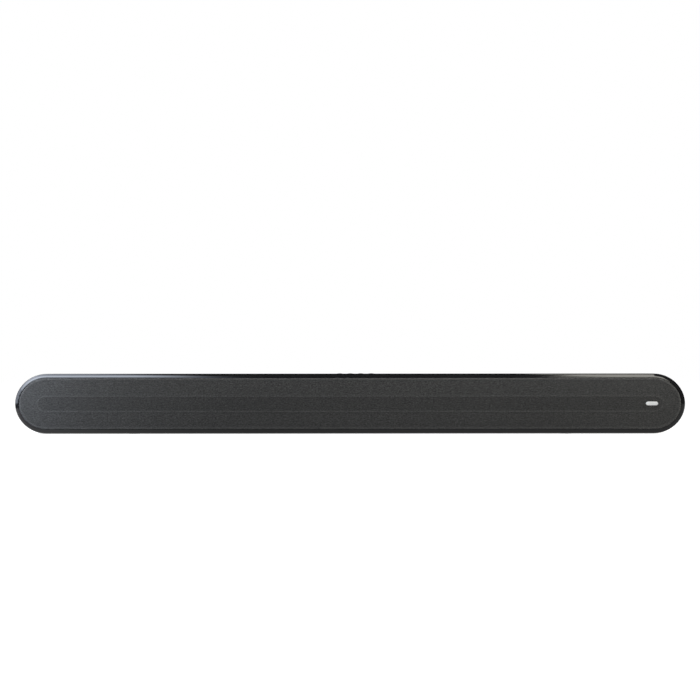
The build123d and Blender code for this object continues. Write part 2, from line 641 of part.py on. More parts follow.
with BuildPart() as power_transformer:
    core = (96.0, -8.0)
    block((core[0] - 13, core[1] - 12, BOARD_TOP), (core[0] + 13, core[1] + 12, BOARD_TOP + 4))
    block((core[0] - 15, core[1] - 6, BOARD_TOP + 4), (core[0] + 15, core[1] + 6, BOARD_TOP + 23))
    rod((core[0], core[1], BOARD_TOP + 6), (core[0], core[1], BOARD_TOP + 21), 11.5)
    block((core[0] - 13, core[1] - 12, BOARD_TOP + 23), (core[0] + 13, core[1] + 12, BOARD_TOP + 25))
    rod((core[0], core[1], BOARD_TOP + 3), (core[0], core[1], BOARD_TOP + 24), 8.0)
save(power_transformer, "power_transformer")

with BuildPart() as power_capacitors:
    for x, y, radius, height in ((68, -16, 8, 26), (50, -17, 6, 18), (80, 13, 6, 20), (95, 13, 5, 16)):
        rod((x, y, BOARD_TOP), (x, y, BOARD_TOP + height), radius)
        with Locations((x, y, BOARD_TOP + height)):
            Box(radius, 0.5, 0.8, mode=Mode.SUBTRACT)
            Box(0.5, radius, 0.8, mode=Mode.SUBTRACT)
save(power_capacitors, "power_capacitors")

INDICATOR_FRONT = LEDGE_FRONT + 1.4

with BuildPart() as indicator_board:
    with BuildSketch(upright(INDICATOR_FRONT + BOARD_THICK)):
        RectangleRounded(44, 14, 2)
        with GridLocations(36, 0, 2, 1):
            Circle(1.5, mode=Mode.SUBTRACT)
    extrude(amount=BOARD_THICK)
save(indicator_board, "indicator_board")

with BuildPart() as status_leds:
    for x in (-9.5, -5.0, -0.5):
        rod((x, INDICATOR_FRONT - 3.5, AXIS_Z), (x, INDICATOR_FRONT, AXIS_Z), 1.5)
        with Locations((x, INDICATOR_FRONT - 3.5, AXIS_Z)):
            Sphere(1.5)
save(status_leds, "status_leds")

with BuildPart() as ir_receiver:
    block((4.5, INDICATOR_FRONT - 3.0, AXIS_Z - 3), (10.5, INDICATOR_FRONT, AXIS_Z + 3))
    with Locations((7.5, INDICATOR_FRONT - 3.0, AXIS_Z)):
        Sphere(2.2)
save(ir_receiver, "ir_receiver")

with BuildPart() as board_screws:
    for x, y in MAIN_BOARD_SCREWS + POWER_BOARD_SCREWS:
        screw((x, y, BOARD_TOP), (0, 0, -1), SMALL_SCREW, 12.0)
    for dx in (-1, 1):
        for dy in (-1, 1):
            x = BUTTON_CENTRE_X + dx * CONTROL_SCREW_SPACING[0] / 2
            y = dy * CONTROL_SCREW_SPACING[1] / 2
            screw((x, y, CONTROL_BOARD_TOP - BOARD_THICK), (0, 0, 1), SMALL_SCREW, 8.0)
    for x in (-18.0, 18.0):
        screw((x, INDICATOR_FRONT + BOARD_THICK, AXIS_Z), (0, -1, 0), SMALL_SCREW, 5.5)
save(board_screws, "board_screws")

# ---- Sockets in the bay --------------------------------------------------------------------


def socket_body(name, front):
    """The closed body of a socket, from front to its face in the bay."""
    (x0, x1), (z0, z1) = SOCKET_BODIES[name]
    block((x0, front, z0), (x1, SOCKET_FACE, z1))


VIDEO_Z = BOARD_TOP + 3.1
with BuildPart() as video_socket:
    socket_body("video", 13.0)
    with BuildSketch(upright(SOCKET_FACE, VIDEO_X, VIDEO_Z)):
        with BuildLine():
            Polyline((0, -2.4), (5.2, -2.4), (7.0, -0.6), (7.0, 2.6), (0, 2.6))
            mirror(about=Plane.YZ)
        make_face()
        with Locations((0, 0.5)):
            Rectangle(10.6, 0.9, mode=Mode.SUBTRACT)
    extrude(amount=11.0, mode=Mode.SUBTRACT)
    tongue_tip = SOCKET_FACE - 1.5
    block(
        (VIDEO_X - 7, tongue_tip, VIDEO_Z - 0.2),
        (VIDEO_X + 7, SOCKET_FACE, VIDEO_Z + 1.1),
        mode=Mode.SUBTRACT,
    )
save(video_socket, "video_socket")

SERVICE_Z = BOARD_TOP + 3.6
with BuildPart() as service_socket:
    socket_body("service", 9.0)
    block(
        (SERVICE_X - 6.25, SOCKET_FACE - 14, SERVICE_Z - 2.6),
        (SERVICE_X + 6.25, SOCKET_FACE, SERVICE_Z + 2.6),
        mode=Mode.SUBTRACT,
    )
    tongue_tip = SOCKET_FACE - 1.5
    block(
        (SERVICE_X - 5.6, SOCKET_FACE - 14, SERVICE_Z + 0.4),
        (SERVICE_X + 5.6, tongue_tip, SERVICE_Z + 2.2),
    )
save(service_socket, "service_socket")

SHUTTER_AXIS_Y = SOCKET_FACE - 1.0
SHUTTER_AXIS_Z = BOARD_TOP + 9.3
OPTICAL_FLOOR = BOARD_TOP + 2.2
OPTICAL_HALF_WIDTH = 3.5
SHUTTER_PIN_RADIUS = 0.5
with BuildPart() as optical_socket:
    socket_body("optical", 12.0)
    block(
        (OPTICAL_X - OPTICAL_HALF_WIDTH, SOCKET_FACE - 11, OPTICAL_FLOOR),
        (OPTICAL_X + OPTICAL_HALF_WIDTH, SOCKET_FACE, BOARD_TOP + 10.1),
        mode=Mode.SUBTRACT,
    )
    rod(
        (OPTICAL_X - 4.5, SHUTTER_AXIS_Y, SHUTTER_AXIS_Z),
        (OPTICAL_X + 4.5, SHUTTER_AXIS_Y, SHUTTER_AXIS_Z),
        SHUTTER_PIN_RADIUS + 0.06,
        mode=Mode.SUBTRACT,
    )
    rod((OPTICAL_X, SOCKET_FACE - 11, BOARD_TOP + 5.4), (OPTICAL_X, SOCKET_FACE - 9, BOARD_TOP + 5.4), 1.6)
save(optical_socket, "optical_socket")

with BuildPart() as optical_shutter:
    block(
        (OPTICAL_X - 3.2, SHUTTER_AXIS_Y - 0.4, OPTICAL_FLOOR + 0.4),
        (OPTICAL_X + 3.2, SHUTTER_AXIS_Y + 0.4, SHUTTER_AXIS_Z),
    )
    for half_length, radius in ((3.2, 0.65), (4.3, SHUTTER_PIN_RADIUS)):
        rod(
            (OPTICAL_X - half_length, SHUTTER_AXIS_Y, SHUTTER_AXIS_Z),
            (OPTICAL_X + half_length, SHUTTER_AXIS_Y, SHUTTER_AXIS_Z),
            radius,
        )
save(optical_shutter, "optical_shutter")

AUX_Z = BOARD_TOP + 4.8
with BuildPart() as aux_jack:
    socket_body("aux", 12.0)
    rod((AUX_X, SOCKET_FACE, AUX_Z), (AUX_X, SOCKET_FACE + 1.0, AUX_Z), 3.9)
    rod((AUX_X, SOCKET_FACE - 13.0, AUX_Z), (AUX_X, SOCKET_FACE + 1.0, AUX_Z), 1.8, mode=Mode.SUBTRACT)
save(aux_jack, "aux_jack")

with BuildPart() as ac_inlet:
    socket_body("mains", 4.0)
    with BuildSketch(upright(SOCKET_FACE, MAINS_X, MAINS_Z)):
        with GridLocations(6.6, 0, 2, 1):
            Circle(4.3)
        Rectangle(6.6, 7.4)
    extrude(amount=13.0, mode=Mode.SUBTRACT)
    for x in (MAINS_X - 4.3, MAINS_X + 4.3):
        rod((x, SOCKET_FACE - 13.0, MAINS_Z), (x, SOCKET_FACE - 2.5, MAINS_Z), 1.15)
save(ac_inlet, "ac_inlet")

# ---- Drivers -------------------------------------------------------------------------------

TERMINAL_REACH = 56.0             # from the driver's axis to the face that its cable leaves
SPIDER_THICK = 0.5
SPIDER_WAVE = ((10.7, 0.8), (11.8, 0.4), (12.9, 1.0), (13.9, 0.4), (14.8, 0.0), (16.5, 0.0))
SURROUND_THICK = 0.5
ROLL_HEIGHT = 2.1
ROLL_OUTER = (49.0, 43.0)         # outer height of the glued land, and where the roll starts
ROLL_INNER = (34.0, 31.0)
MOUTH_STRAIGHT = (CONE_MOUTH[0] - CONE_MOUTH[1]) / 2


def flange_outline():
    """The driver's flange, with its screw holes, open in the middle."""
    RectangleRounded(*FLANGE_SIZE, FLANGE_CORNER)
    with GridLocations(*DRIVER_SCREWS, 2, 2):
        Circle(1.5, mode=Mode.SUBTRACT)


def surround_section(plane):
    """Section of the half-roll surround, from its outer land to its inner land."""
    back = FLANGE_FRONT
    front = back - SURROUND_THICK
    rim, roll_end = ROLL_OUTER[0] / 2, ROLL_OUTER[1] / 2
    roll_start, lip = ROLL_INNER[0] / 2, ROLL_INNER[1] / 2
    middle = (roll_end + roll_start) / 2
    with BuildSketch(plane) as face:
        with BuildLine() as edge:
            Polyline((roll_end - 0.4, back), (rim, back), (rim, front), (roll_end, front))
            ThreePointArc((roll_end, front), (middle, front - ROLL_HEIGHT), (roll_start, front))
            Polyline((roll_start, front), (lip, front), (lip, back), (roll_start + 0.4, back))
            ThreePointArc((roll_start + 0.4, back), (middle, back - ROLL_HEIGHT), (roll_end - 0.4, back))
        make_face(edge.edges())
    return face.sketch


def build_driver(side_name, side):
    """One race-track driver, from its flange in the baffle back to its yoke."""
    centre = side * DRIVER_X

    def on_axis(y):
        return (centre, y, AXIS_Z)

    def flange_ring(front, back):
        driver_slab(centre, flange_outline, front, back)
        driver_slab(centre, lambda: SlotOverall(*BAFFLE_HOLE), front, back, mode=Mode.SUBTRACT)

    with BuildPart() as gasket:
        flange_ring(FLANGE_BACK, REBATE_FLOOR)
    save(gasket, f"{side_name}_gasket")

    inner_size = (BASKET_SIZE[0] - 2 * BASKET_WALL, BASKET_SIZE[1] - 2 * BASKET_WALL)
    with BuildPart() as basket:
        driver_slab(centre, flange_outline, FLANGE_FRONT, FLANGE_BACK)
        driver_slab(centre, lambda: SlotOverall(*BASKET_SIZE), FLANGE_FRONT, BASKET_BACK)
        driver_slab(
            centre,
            lambda: SlotOverall(*inner_size),
            FLANGE_FRONT,
            BASKET_BACK - SHEET_STEEL,
            mode=Mode.SUBTRACT,
        )
        rod(on_axis(LEDGE_RING_FRONT), on_axis(BASKET_BACK), 16.5)
        rod(on_axis(LEDGE_RING_FRONT), on_axis(BASKET_BACK - SHEET_STEEL), 14.5, mode=Mode.SUBTRACT)
        rod(on_axis(LEDGE_RING_FRONT), on_axis(BASKET_BACK), 13.0, mode=Mode.SUBTRACT)
        for offset in (-33.0, 33.0):
            with Locations((centre + offset, BASKET_BACK, AXIS_Z)):
                Box(22.0, 6 * SHEET_STEEL, 26.0, mode=Mode.SUBTRACT)
        terminal_x = sorted((centre - side * TERMINAL_REACH, centre - side * (TERMINAL_REACH - 6.5)))
        block((terminal_x[0], -36.0, AXIS_Z - 8), (terminal_x[1], -28.0, AXIS_Z - 2))
    save(basket, f"{side_name}_basket")

    with BuildPart() as surround:
        for flip in (1, -1):
            start = Vector(centre + flip * MOUTH_STRAIGHT, 0, AXIS_Z)
            section = surround_section(Plane(start, x_dir=(0, 0, flip), z_dir=(-flip, 0, 0)))
            extrude(section, amount=2 * MOUTH_STRAIGHT)
            revolve(section, axis=Axis(start, (0, 1, 0)), revolution_arc=180)
    save(surround, f"{side_name}_surround")

    with BuildPart() as cone:
        mouth, neck = FLANGE_FRONT, COIL_FRONT
        with BuildSketch(upright(mouth, centre)):
            SlotOverall(*CONE_MOUTH)
        with BuildSketch(upright(neck + CONE_THICK, centre)):
            SlotOverall(CONE_NECK[0] + 2 * CONE_THICK, CONE_NECK[1] + 2 * CONE_THICK)
        loft()
        with BuildSketch(upright(mouth, centre)):
            SlotOverall(CONE_MOUTH[0] - 2 * CONE_THICK, CONE_MOUTH[1] - 2 * CONE_THICK)
        with BuildSketch(upright(neck, centre)):
            SlotOverall(*CONE_NECK)
        loft(mode=Mode.SUBTRACT)
        rod(on_axis(neck - 1), on_axis(neck + CONE_THICK + 1), COIL_RADIUS + 0.05, mode=Mode.SUBTRACT)
    save(cone, f"{side_name}_cone")

    with BuildPart() as dust_cap:
        with BuildSketch(Plane(origin=(centre, 0, AXIS_Z), x_dir=(1, 0, 0), z_dir=(0, 0, 1))):
            with BuildLine():
                TangentArc((0, COIL_FRONT - 4.0), (10.7, COIL_FRONT), tangent=(1, 0))
                Line((10.7, COIL_FRONT), (10.0, COIL_FRONT))
                TangentArc((0, COIL_FRONT - 3.5), (10.0, COIL_FRONT), tangent=(1, 0))
                Line((0, COIL_FRONT - 3.5), (0, COIL_FRONT - 4.0))
            make_face()
        revolve(axis=Axis((centre, 0, AXIS_Z), (0, 1, 0)))
    save(dust_cap, f"{side_name}_dust_cap")

    with BuildPart() as voice_coil:
        rod(on_axis(COIL_FRONT), on_axis(COIL_FRONT + 12.5), COIL_RADIUS)
        rod(on_axis(COIL_FRONT), on_axis(COIL_FRONT + 12.5), COIL_RADIUS - 0.5, mode=Mode.SUBTRACT)
    save(voice_coil, f"{side_name}_voice_coil")

    with BuildPart() as spider:
        back_line = [(radius, LEDGE_RING_FRONT - rise) for radius, rise in SPIDER_WAVE]
        front_line = [(radius, y - SPIDER_THICK) for radius, y in back_line]
        with BuildSketch(Plane(origin=(centre, 0, AXIS_Z), x_dir=(1, 0, 0), z_dir=(0, 0, 1))):
            with BuildLine():
                Polyline(*back_line, *reversed(front_line), close=True)
            make_face()
        revolve(axis=Axis((centre, 0, AXIS_Z), (0, 1, 0)))
    save(spider, f"{side_name}_spider")

    with BuildPart() as top_plate:
        rod(on_axis(BASKET_BACK), on_axis(TOP_PLATE_BACK), 18.0)
        rod(on_axis(BASKET_BACK), on_axis(TOP_PLATE_BACK), COIL_RADIUS + 0.5, mode=Mode.SUBTRACT)
    save(top_plate, f"{side_name}_top_plate")

    with BuildPart() as magnet:
        rod(on_axis(TOP_PLATE_BACK), on_axis(MAGNET_BACK), 22.0)
        rod(on_axis(TOP_PLATE_BACK), on_axis(MAGNET_BACK), 13.5, mode=Mode.SUBTRACT)
    save(magnet, f"{side_name}_magnet")

    with BuildPart() as yoke:
        rod(on_axis(MAGNET_BACK), on_axis(YOKE_BACK), 20.0)
        rod(on_axis(BASKET_BACK), on_axis(MAGNET_BACK), COIL_RADIUS - 0.9)
    save(yoke, f"{side_name}_yoke")


for side_name, side in (("left", -1), ("right", 1)):
    build_driver(side_name, side)

with BuildPart() as driver_screws:
    for side in (-1, 1):
        for dx in (-1, 1):
            for dz in (-1, 1):
                x = side * DRIVER_X + dx * DRIVER_SCREWS[0] / 2
                z = AXIS_Z + dz * DRIVER_SCREWS[1] / 2
                screw((x, FLANGE_FRONT, z), (0, 1, 0), SMALL_SCREW, 6.5)
save(driver_screws, "driver_screws")

# ---- Speaker cables, held inside the housing -----------------------------------------------

CABLE_RADIUS = 1.5

with BuildPart() as left_speaker_cable:
    tube_along(
        (
            (-199.0, -32.0, 31.0),
            (-182.0, -32.0, 31.0),
            (-165.0, -24.0, 28.5),
            (-152.0, -10.0, 27.5),
            (-138.0, 0.0, 27.0),
            (-124.0, 0.0, 27.0),
        ),
        CABLE_RADIUS,
    )
save(left_speaker_cable, "left_speaker_cable")

with BuildPart() as right_speaker_cable:
    tube_along(
        (
            (199.0, -32.0, 31.0),
            (179.0, -32.0, 31.0),
            (150.0, -30.5, 26.0),
            (112.0, -32.0, 17.0),
            (70.0, -31.5, 13.5),
            (38.0, -32.0, 17.0),
            (18.0, -31.5, 25.0),
            (-3.0, -24.0, 27.0),
            (-20.0, -24.0, 27.0),
        ),
        CABLE_RADIUS,
    )
save(right_speaker_cable, "right_speaker_cable")
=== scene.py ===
"""Looks of the compact soundbar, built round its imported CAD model. Metres, same frame as the CAD:
+X to the right as seen from the front, the front faces -Y, +Z up, feet on z = 0."""

import json
from math import atan2, cos, pi, radians, sin

import bpy
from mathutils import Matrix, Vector


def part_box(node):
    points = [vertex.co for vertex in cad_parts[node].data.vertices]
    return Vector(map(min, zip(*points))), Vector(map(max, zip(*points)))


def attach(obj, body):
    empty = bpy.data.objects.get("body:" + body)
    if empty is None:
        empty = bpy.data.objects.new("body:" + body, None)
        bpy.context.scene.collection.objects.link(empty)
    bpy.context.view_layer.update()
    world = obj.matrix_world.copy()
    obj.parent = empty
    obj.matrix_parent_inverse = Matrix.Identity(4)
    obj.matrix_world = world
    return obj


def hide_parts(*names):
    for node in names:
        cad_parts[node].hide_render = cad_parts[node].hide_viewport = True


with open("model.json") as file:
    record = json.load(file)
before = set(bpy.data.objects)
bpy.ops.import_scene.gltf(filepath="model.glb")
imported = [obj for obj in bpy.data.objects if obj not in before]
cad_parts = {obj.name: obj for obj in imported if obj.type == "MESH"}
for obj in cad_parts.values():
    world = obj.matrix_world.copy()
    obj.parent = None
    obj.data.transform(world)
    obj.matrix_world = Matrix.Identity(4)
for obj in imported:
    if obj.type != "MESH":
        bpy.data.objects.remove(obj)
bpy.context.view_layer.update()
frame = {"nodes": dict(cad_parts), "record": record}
NODES = frame["nodes"]
MM = 0.001

# ---- Places and sizes, from the frame -----------------------------------------------------

HOUSING_LOW, HOUSING_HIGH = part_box("housing_shell")
CLOTH_LOW, CLOTH_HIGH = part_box("grille_cloth")

HALF_WIDTH = (HOUSING_HIGH[0] - HOUSING_LOW[0]) / 2
HALF_HEIGHT = (HOUSING_HIGH[2] - HOUSING_LOW[2]) / 2
AXIS_Z = (HOUSING_HIGH[2] + HOUSING_LOW[2]) / 2
FRONT_Y = CLOTH_LOW[1]

# The bar's outline, as in the CAD: a nose arc between two larger shoulder arcs at each end
END_LENGTH = 37.6 * MM
NOSE_RADIUS = 33.6 * MM
STRAIGHT_X = HALF_WIDTH - END_LENGTH
NOSE_X = HALF_WIDTH - NOSE_RADIUS
SETBACK = END_LENGTH - NOSE_RADIUS
SHOULDER_RADIUS = (HALF_HEIGHT**2 + SETBACK**2 - NOSE_RADIUS**2) / (2 * (HALF_HEIGHT - NOSE_RADIUS))
ARC_STEPS = 20                  # pieces in each arc of the outline
STRAIGHT_STEPS = 90             # pieces in half a straight side
SHOULDER_DROP = SHOULDER_RADIUS - HALF_HEIGHT
JOIN_ANGLE = atan2(SHOULDER_DROP, SETBACK)

# ---- Mesh helpers --------------------------------------------------------------------------


def link(obj):
    bpy.context.scene.collection.objects.link(obj)
    return obj


def mesh_object(name, points, faces, smooth=True):
    """A mesh object from points and faces, in the scene."""
    mesh = bpy.data.meshes.new(name)
    mesh.from_pydata(points, [], faces)
    mesh.validate()
    mesh.polygons.foreach_set("use_smooth", [smooth] * len(mesh.polygons))
    return link(bpy.data.objects.new(name, mesh))


def right_half_outline(inset):
    """Points of the outline's right half, clockwise from the middle of the top to that of the bottom."""
    top = HALF_HEIGHT - inset
    points = [(STRAIGHT_X * i / STRAIGHT_STEPS, top) for i in range(STRAIGHT_STEPS)]
    shoulder = SHOULDER_RADIUS - inset
    nose = NOSE_RADIUS - inset
    arcs = (
        (STRAIGHT_X, -SHOULDER_DROP, shoulder, pi / 2, JOIN_ANGLE),
        (NOSE_X, 0.0, nose, JOIN_ANGLE, -JOIN_ANGLE),
        (STRAIGHT_X, SHOULDER_DROP, shoulder, -JOIN_ANGLE, -pi / 2),
    )
    for x, z, radius, start, end in arcs:
        for i in range(ARC_STEPS):
            angle = start + (end - start) * i / ARC_STEPS
            points.append((x + radius * cos(angle), z + radius * sin(angle)))
    points += [(STRAIGHT_X * (1 - i / STRAIGHT_STEPS), -top) for i in range(STRAIGHT_STEPS)]
    return points


def outline(inset):
    """The bar's outline, drawn inward by inset, as a closed ring of (x, z) about the bar's axis."""
    right = right_half_outline(inset)
    left = [(-x, -z) for x, z in right]
    return right + left


def ring_sweep(section):
    """Points and faces swept round the bar, and the points in each ring: section is a list of (inset, y)."""
    points, faces = [], []
    count = len(outline(0.0))
    for inset, y in section:
        points += [(x, y, AXIS_Z + z) for x, z in outline(inset)]
    for i in range(len(section) - 1):
        a, b = i * count, (i + 1) * count
        for j in range(count):
            k = (j + 1) % count
            faces.append((a + j, a + k, b + k, b + j))
    return points, faces, count


# ---- Materials -----------------------------------------------------------------------------


class Shader:
    """A node material under construction, with one Principled shader."""

    def __init__(self, name, **sockets):
        self.material = bpy.data.materials.new(name)
        self.material.use_nodes = True
        self.tree = self.material.node_tree
        self.shader = self.tree.nodes["Principled BSDF"]
        for socket, value in sockets.items():
            self.shader.inputs[socket.replace("_", " ")].default_value = value

    def node(self, kind, **settings):
        node = self.tree.nodes.new(kind)
        for key, value in settings.items():
            if key[0].isupper():
                node.inputs[key.replace("_", " ")].default_value = value
            else:
                setattr(node, key, value)
        return node

    def link(self, source, target):
        self.tree.links.new(source, target)

    def place(self, scale=(1, 1, 1)):
        """Object coordinates, scaled: metres times scale."""
        coordinates = self.node("ShaderNodeTexCoord")
        mapping = self.node("ShaderNodeMapping")
        mapping.inputs["Scale"].default_value = scale
        self.link(coordinates.outputs["Object"], mapping.inputs["Vector"])
        return mapping.outputs["Vector"]

    def noise(self, scale, detail=4.0, roughness=0.55, stretch=(1, 1, 1)):
        noise = self.node("ShaderNodeTexNoise", Scale=scale, Detail=detail, Roughness=roughness)
        self.link(self.place(stretch), noise.inputs["Vector"])
        return noise.outputs["Fac"]

    def ramp(self, value, stops):
        """stops: (position, value or colour) pairs."""
        ramp = self.node("ShaderNodeValToRGB")
        elements = ramp.color_ramp.elements
        while len(elements) < len(stops):
            elements.new(0.5)
        for element, (position, colour) in zip(elements, stops):
            element.position = position
            rgb = colour if hasattr(colour, "__len__") else (colour, colour, colour)
            element.color = (*rgb, 1.0)
        self.link(value, ramp.inputs["Fac"])
        return ramp.outputs["Color"]

    def math(self, operation, a, b=None):
        node = self.node("ShaderNodeMath", operation=operation)
        for socket, value in zip(node.inputs, (a, b)):
            if value is None:
                continue
            if isinstance(value, (int, float)):
                socket.default_value = value
            else:
                self.link(value, socket)
        return node.outputs["Value"]

    def multiply(self, a, b):
        """One colour times another."""
        node = self.node("ShaderNodeMix", data_type="RGBA", blend_type="MULTIPLY", Factor=1.0)
        self.link(a, node.inputs["A"])
        self.link(b, node.inputs["B"])
        return node.outputs["Result"]

    def colour(self, source):
        self.link(source, self.shader.inputs["Base Color"])

    def roughness(self, source):
        self.link(source, self.shader.inputs["Roughness"])

    def bump(self, height, distance, strength=1.0):
        bump = self.node("ShaderNodeBump", Strength=strength, Distance=distance)
        self.link(height, bump.inputs["Height"])
        self.link(bump.outputs["Normal"], self.shader.inputs["Normal"])


def tint(colour, factor):
    return tuple(min(1.0, c * factor) for c in colour)


def moulded(name, colour, rough=0.45, grain=2600.0, depth=0.03 * MM):
    """Moulded plastic or rubber: a fine spark-eroded grain and slow changes of tone."""
    s = Shader(name)
    s.colour(s.ramp(s.noise(38.0), [(0.3, tint(colour, 0.75)), (0.7, tint(colour, 1.25))]))
    s.roughness(s.ramp(s.noise(150.0), [(0.3, rough - 0.07), (0.7, rough + 0.07)]))
    s.bump(s.noise(grain, detail=2.0), depth, strength=0.35)
    return s.material


def gloss_black(name, tone=0.007):
    """Polished black plastic: deep, with faint orange peel and hairline wipe marks in its roughness."""
    s = Shader(name, IOR=1.5)
    deep, pale = (tone, tone, tone * 1.1), (tone * 1.5, tone * 1.5, tone * 1.6)
    s.colour(s.ramp(s.noise(14.0), [(0.35, deep), (0.65, pale)]))
    wipes = s.noise(240.0, detail=6.0, stretch=(1.0, 6.0, 6.0))
    s.roughness(s.ramp(wipes, [(0.35, 0.045), (0.75, 0.085)]))
    s.bump(s.noise(70.0, detail=1.0), 0.004 * MM, strength=0.2)
    return s.material


def brushed(name, colour, rough=0.32, along=(1.0, 40.0, 40.0)):
    """Brushed or drawn metal."""
    s = Shader(name, Metallic=1.0)
    streaks = s.noise(300.0, detail=3.0, stretch=along)
    s.colour(s.ramp(streaks, [(0.3, tint(colour, 0.8)), (0.7, tint(colour, 1.1))]))
    s.roughness(s.ramp(streaks, [(0.3, rough - 0.08), (0.7, rough + 0.1)]))
    s.bump(streaks, 0.01 * MM, strength=0.3)
    return s.material


WEAVE_PITCH = 0.62 * MM


def grille_fabric(name):
    """Fine plain weave in dark grey, with painted light: lighter where a rib of the frame backs it,
    brightest along the border where light catches the turned edge, darkest inside the loop.
    """
    s = Shader(name, Roughness=0.85)
    coordinates = s.node("ShaderNodeTexCoord")
    split = s.node("ShaderNodeSeparateXYZ")
    s.link(coordinates.outputs["Object"], split.inputs["Vector"])
    across = s.math("DIVIDE", split.outputs["X"], WEAVE_PITCH)
    down = s.math("DIVIDE", split.outputs["Z"], WEAVE_PITCH)
    warp = s.math("ABSOLUTE", s.math("SINE", s.math("MULTIPLY", across, pi)))
    weft = s.math("ABSOLUTE", s.math("SINE", s.math("MULTIPLY", down, pi)))
    cell = s.math("ADD", s.math("FLOOR", across), s.math("FLOOR", down))
    warp_over = s.math("ABSOLUTE", s.math("MODULO", cell, 2.0))
    weft_over = s.math("SUBTRACT", 1.0, warp_over)
    height = s.math("ADD", s.math("MULTIPLY", warp, warp_over), s.math("MULTIPLY", weft, weft_over))
    dark, light = (0.0213, 0.0214, 0.0211), (0.0525, 0.0527, 0.0518)
    # painted shade: the weave darker in the hollows between its threads and lighter on their crowns
    weave_with_painted_shade = s.ramp(height, [(0.15, dark), (0.95, light)])
    slubs = s.ramp(s.noise(620.0, detail=2.0, stretch=(0.8, 1.0, 1.6)), [(0.25, 0.50), (0.75, 1.50)])
    streaks = s.ramp(s.noise(480.0, detail=1.0, stretch=(0.3, 1.0, 1.8)), [(0.25, 0.82), (0.75, 1.18)])
    slow = s.ramp(s.noise(9.0, detail=2.0), [(0.3, 0.95), (0.7, 1.05)])
    painted_rib_light_node = s.node("ShaderNodeAttribute", attribute_name="painted_rib_light")
    # painted light: brightens the cloth over the ribs and along its border, and darkens it inside the loop
    painted_light_lift = s.ramp(painted_rib_light_node.outputs["Fac"], [(0.0, 0.87), (0.3, 1.0), (0.7, 1.35), (1.0, 1.45)])
    toned = weave_with_painted_shade
    for factor in (slubs, streaks, slow, painted_light_lift):
        toned = s.multiply(toned, factor)
    s.colour(toned)
    s.bump(height, 0.10 * MM, strength=0.5)
    s.shader.inputs["Specular IOR Level"].default_value = 0.06
    s.shader.inputs["Sheen Weight"].default_value = 0.05
    s.shader.inputs["Sheen Roughness"].default_value = 0.45
    s.shader.inputs["Sheen Tint"].default_value = (0.75, 0.8, 0.85, 1.0)
    return s.material


def circuit(name, mask, trace):
    """Solder mask over copper traces, with a row of bare pads."""
    s = Shader(name, Roughness=0.35)
    brick = s.node("ShaderNodeTexBrick", Scale=60.0, Mortar_Size=0.03, Mortar_Smooth=0.1, Bias=0.0)
    brick.offset = 0.37
    brick.squash = 0.6
    brick.squash_frequency = 3
    s.link(s.place(), brick.inputs["Vector"])
    brick.inputs["Color1"].default_value = (*mask, 1.0)
    brick.inputs["Color2"].default_value = (*tint(mask, 1.25), 1.0)
    brick.inputs["Mortar"].default_value = (*trace, 1.0)
    tone = s.ramp(s.noise(90.0), [(0.35, 0.85), (0.7, 1.15)])
    s.colour(s.multiply(brick.outputs["Color"], tone))
    s.bump(brick.outputs["Fac"], 0.03 * MM, strength=0.5)
    return s.material


def fibrous(name, colour, rough=0.8):
    """Pressed pulp, felt or resin-stiffened cloth."""
    s = Shader(name)
    fibres = s.noise(900.0, detail=6.0, roughness=0.7, stretch=(1.0, 3.0, 1.0))
    s.colour(s.ramp(fibres, [(0.3, tint(colour, 0.6)), (0.7, tint(colour, 1.5))]))
    s.roughness(s.ramp(fibres, [(0.3, rough - 0.1), (0.7, rough + 0.1)]))
    s.bump(fibres, 0.05 * MM, strength=0.5)
    return s.material


